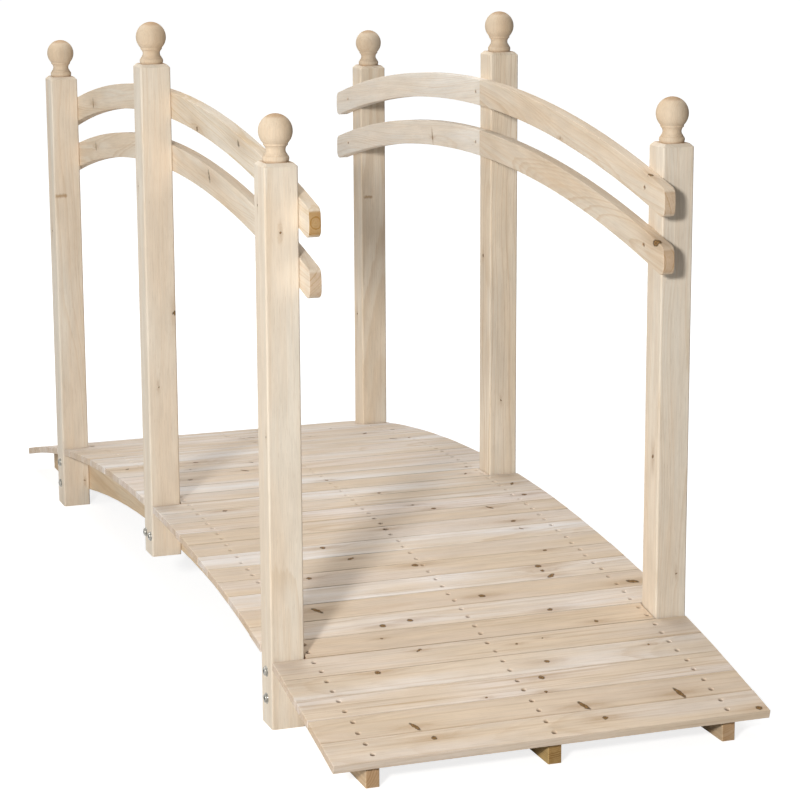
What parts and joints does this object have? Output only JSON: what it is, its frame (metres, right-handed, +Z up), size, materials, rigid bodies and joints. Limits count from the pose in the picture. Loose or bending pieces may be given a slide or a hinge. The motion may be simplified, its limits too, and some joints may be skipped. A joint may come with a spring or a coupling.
{
  "type": "moon bridge",
  "caption": "Low arched garden footbridge in bare softwood: plank deck on arched stringers, square posts with turned ball finials and curved double hand rails.",
  "frame": {"origin": "centre of the footprint on the ground under mid span", "axes": "+Y along the bridge towards the far end, +X to the right seen from the near end, +Z up"},
  "size_m": [0.656, 1.9686, 0.9665],
  "materials": {
    "deck_wood": "bare planed softwood",
    "stringer_wood": "bare planed softwood",
    "post_wood": "bare planed softwood",
    "finial_wood": "bare planed softwood",
    "rail_wood": "bare planed softwood",
    "fixing_steel": "zinc plated"
  },
  "bodies": {
    "root": {"near_ramp_planks": "deck_wood", "near_post_plank": "deck_wood", "near_span_planks": "deck_wood", "middle_post_plank": "deck_wood", "far_span_planks": "deck_wood", "far_post_plank": "deck_wood", "far_ramp_planks": "deck_wood", "stringer_left": "stringer_wood", "stringer_middle": "stringer_wood", "stringer_right": "stringer_wood", "post_left_near": "post_wood", "finial_left_near": "finial_wood", "post_left_middle": "post_wood", "finial_left_middle": "finial_wood", "post_left_far": "post_wood", "finial_left_far": "finial_wood", "post_right_near": "post_wood", "finial_right_near": "finial_wood", "post_right_middle": "post_wood", "finial_right_middle": "finial_wood", "post_right_far": "post_wood", "finial_right_far": "finial_wood", "rail_upper_left_near": "rail_wood", "rail_upper_left_far": "rail_wood", "rail_upper_right_near": "rail_wood", "rail_upper_right_far": "rail_wood", "rail_lower_left_near": "rail_wood", "rail_lower_left_far": "rail_wood", "rail_lower_right_near": "rail_wood", "rail_lower_right_far": "rail_wood"}
  },
  "joints": []
}
